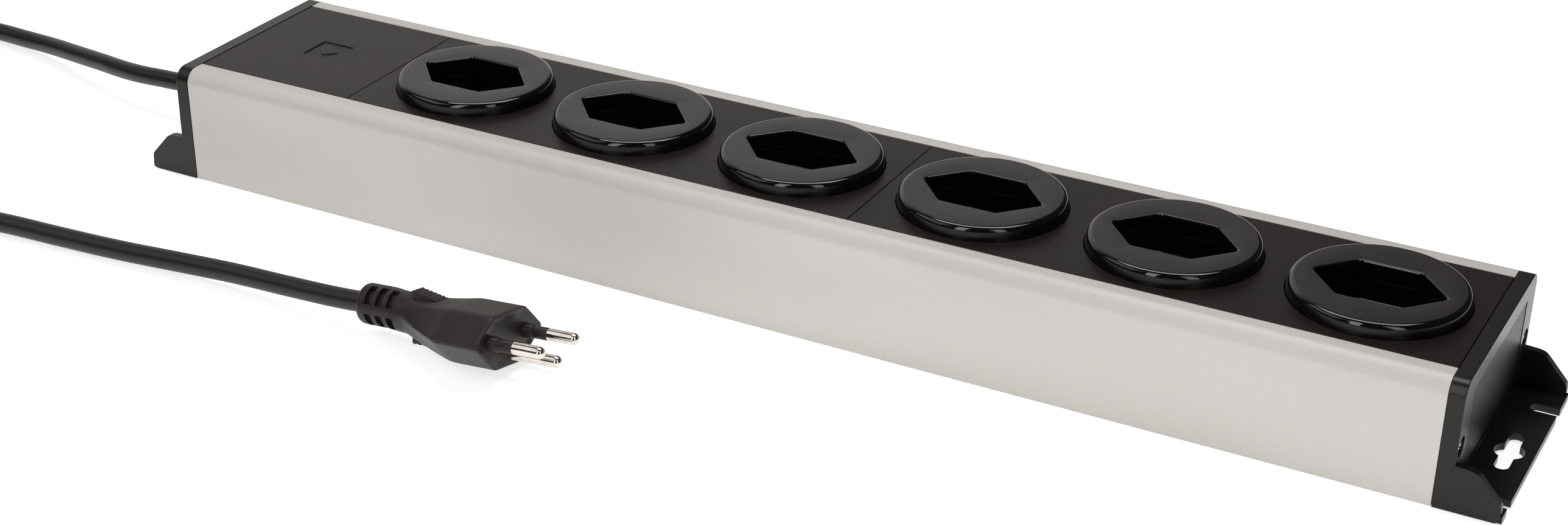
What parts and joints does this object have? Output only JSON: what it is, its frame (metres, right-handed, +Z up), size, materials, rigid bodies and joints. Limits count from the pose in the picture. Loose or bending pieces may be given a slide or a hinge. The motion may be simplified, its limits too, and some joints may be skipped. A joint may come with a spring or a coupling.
{
  "type": "desk power strip",
  "caption": "Long aluminium power strip with a black cover, a row of recessed three-pin sockets, mounting ears at both ends and a mains lead with plug.",
  "frame": {"origin": "middle of the strip's underside, on the surface that it stands on, the lead and its plug left out", "axes": "+X along the strip, away from the end where the lead comes out; +Y to the back; +Z up"},
  "size_m": [0.6537, 0.1649, 0.0448],
  "materials": {
    "housing": "fine satin anodised",
    "cover": "satin, fine texture",
    "socket": "satin top with a glossy rim and recess lip",
    "end_cap": "satin moulded",
    "carrier": "moulded",
    "contact": "stamped and rolled",
    "screw": "zinc plated",
    "live_core": "insulation",
    "neutral_core": "insulation",
    "earth_core": "insulation, green with a yellow stripe",
    "cord": "smooth flexible sheath",
    "plug": "moulded, satin",
    "pin": "nickel plated, polished"
  },
  "bodies": {
    "root": {"housing_profile": "housing", "blank_cover": "cover", "socket_cover_a": "cover", "socket_cover_b": "cover", "socket_insert_1": "socket", "socket_insert_2": "socket", "socket_insert_3": "socket", "socket_insert_4": "socket", "socket_insert_5": "socket", "socket_insert_6": "socket", "contact_carrier_a": "carrier", "contact_carrier_b": "carrier", "live_rail": "contact", "neutral_rail": "contact", "earth_rail": "contact", "live_wire": "live_core", "neutral_wire": "neutral_core", "earth_wire": "earth_core", "earth_bond_wire": "earth_core", "earth_tag": "contact", "earth_screw": "screw", "cable_saddle": "carrier", "cable_clamp": "carrier", "clamp_screw_front": "screw", "clamp_screw_back": "screw", "end_cap_left": "end_cap", "end_cap_right": "end_cap", "cap_screw_left_front": "screw", "cap_screw_left_back": "screw", "cap_screw_right_front": "screw", "cap_screw_right_back": "screw", "cord_bushing": "cord", "cord_end": "cord", "cord_lead": "cord", "cord_coil": "cord", "cord_tie": "cord", "cord_tail": "cord", "plug_body": "plug", "pin_bridge": "plug", "pin_sleeve_live": "plug", "pin_sleeve_neutral": "plug", "plug_pin_live": "pin", "plug_pin_neutral": "pin", "plug_pin_earth": "pin"}
  },
  "joints": []
}
